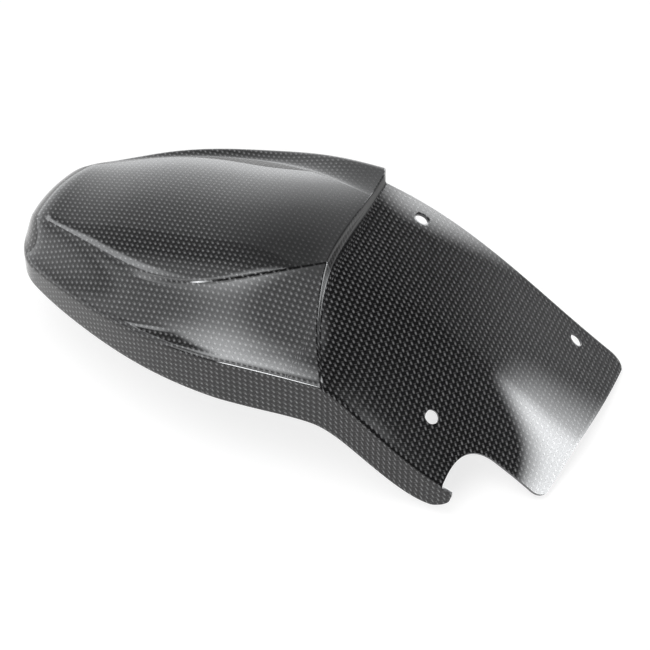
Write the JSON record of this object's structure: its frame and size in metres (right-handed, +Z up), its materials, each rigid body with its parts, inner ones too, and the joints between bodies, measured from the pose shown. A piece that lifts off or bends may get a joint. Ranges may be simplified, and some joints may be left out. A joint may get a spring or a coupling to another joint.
{
  "type": "motorcycle rear mudguard",
  "caption": "Carbon laminate hugger mudguard: hollow leaf-bladed cap behind a stepped, drooping mounting plate with a near-side flange, a notch and plain fixing holes.",
  "frame": {"origin": "centre of the near fixing hole, halfway through the wall", "axes": "+X forward along the motorcycle, +Y to the far side away from the flange, +Z up with the cap's rim level"},
  "size_m": [0.351, 0.1779, 0.0975],
  "materials": {
    "carbon_laminate": "clear-coated plain-weave carbon cloth"
  },
  "bodies": {
    "root": {"mudguard_shell": "carbon_laminate"}
  },
  "joints": []
}
